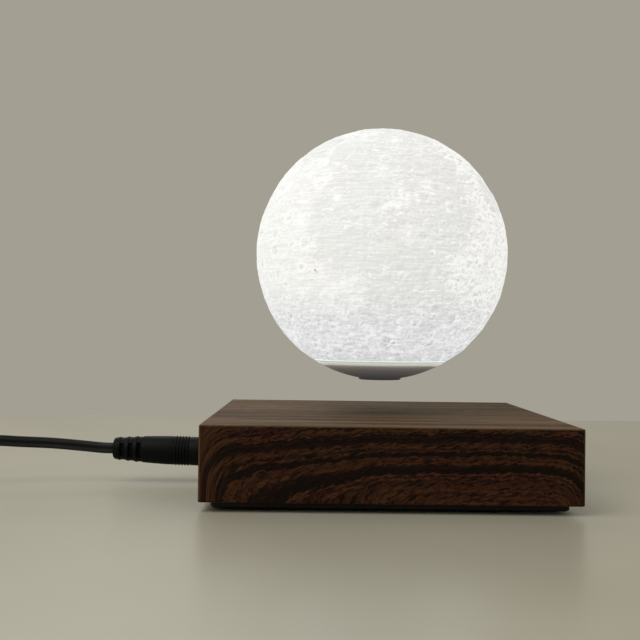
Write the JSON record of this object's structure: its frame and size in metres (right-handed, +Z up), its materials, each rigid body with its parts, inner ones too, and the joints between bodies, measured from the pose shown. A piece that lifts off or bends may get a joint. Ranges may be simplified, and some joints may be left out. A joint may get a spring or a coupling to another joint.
{
  "type": "levitating moon lamp",
  "caption": "Glowing printed moon globe that floats and spins over a square wooden magnetic base, with a barrel plug, flat cord and wall adapter.",
  "frame": {"origin": "middle of the base's footprint on the surface it stands on", "axes": "+Z up through the globe's axis, +Y to the back, +X to the right of someone who faces the front; the power plug is on the -X side"},
  "size_m": [0.337, 0.152, 0.143],
  "materials": {
    "wood": "satin",
    "black_plastic": "matte",
    "foot_rubber": "matte",
    "steel": "satin",
    "board": "satin",
    "ferrite": "matte",
    "copper": "satin",
    "white_plastic": "matte",
    "nickel": "polished",
    "capacitor_can": "satin",
    "printed_shell": "matte",
    "smoked_cap": "satin",
    "clear_ring": "gloss",
    "light_chip": "gloss",
    "cord_plastic": "satin",
    "tie_rubber": "matte",
    "adapter_plastic": "matte"
  },
  "bodies": {
    "base": {"base_housing": "wood", "bottom_plate": "black_plastic", "foot_1": "foot_rubber", "foot_2": "foot_rubber", "foot_3": "foot_rubber", "foot_4": "foot_rubber", "plate_screw_1": "steel", "plate_screw_2": "steel", "plate_screw_3": "steel", "plate_screw_4": "steel", "power_socket": "black_plastic", "socket_pin": "nickel", "main_board": "board", "board_screw_1": "steel", "board_screw_2": "steel", "board_screw_3": "steel", "board_screw_4": "steel", "ring_magnet": "ferrite", "coil_bobbin_1": "white_plastic", "coil_winding_1": "copper", "coil_core_1": "steel", "coil_bobbin_2": "white_plastic", "coil_winding_2": "copper", "coil_core_2": "steel", "coil_bobbin_3": "white_plastic", "coil_winding_3": "copper", "coil_core_3": "steel", "coil_bobbin_4": "white_plastic", "coil_winding_4": "copper", "coil_core_4": "steel", "hall_post": "white_plastic", "hall_board": "board", "sender_coil": "copper", "sender_leads": "black_plastic", "driver_chip_1": "black_plastic", "driver_chip_2": "black_plastic", "capacitor": "capacitor_can"},
    "floater": {"float_magnet": "nickel"},
    "globe": {"moon_shell": "printed_shell", "moon_cap": "smoked_cap", "glow_ring": "clear_ring", "receiver_coil": "copper", "magnet_retainer": "white_plastic", "light_board": "board", "light_screw_1": "steel", "light_screw_2": "steel", "light_screw_3": "steel", "light_1": "light_chip", "light_2": "light_chip", "light_3": "light_chip", "light_4": "light_chip"},
    "power_plug": {"plug_body": "cord_plastic", "plug_barrel": "nickel", "cord_run": "cord_plastic", "cord_coil": "cord_plastic", "coil_tie": "tie_rubber", "cord_tail": "cord_plastic", "adapter_body": "adapter_plastic", "adapter_pin_1": "nickel", "adapter_pin_2": "nickel"}
  },
  "joints": [
    {"name": "moon_float", "type": "slide", "parent": "base", "child": "floater", "axis": [0, 0, 1], "range_m": [-0.0128, 0.06], "stiffness_N_per_m": 60, "springref_m": 0.02031},
    {"name": "moon_spin", "type": "hinge", "parent": "floater", "child": "globe", "pos_m": [0, 0, 0.0927], "axis": [0, 0, 1], "continuous": true},
    {"name": "plug_pull", "type": "slide", "parent": "base", "child": "power_plug", "axis": [-1, 0, 0], "range_m": [0, 0.014]}
  ]
}
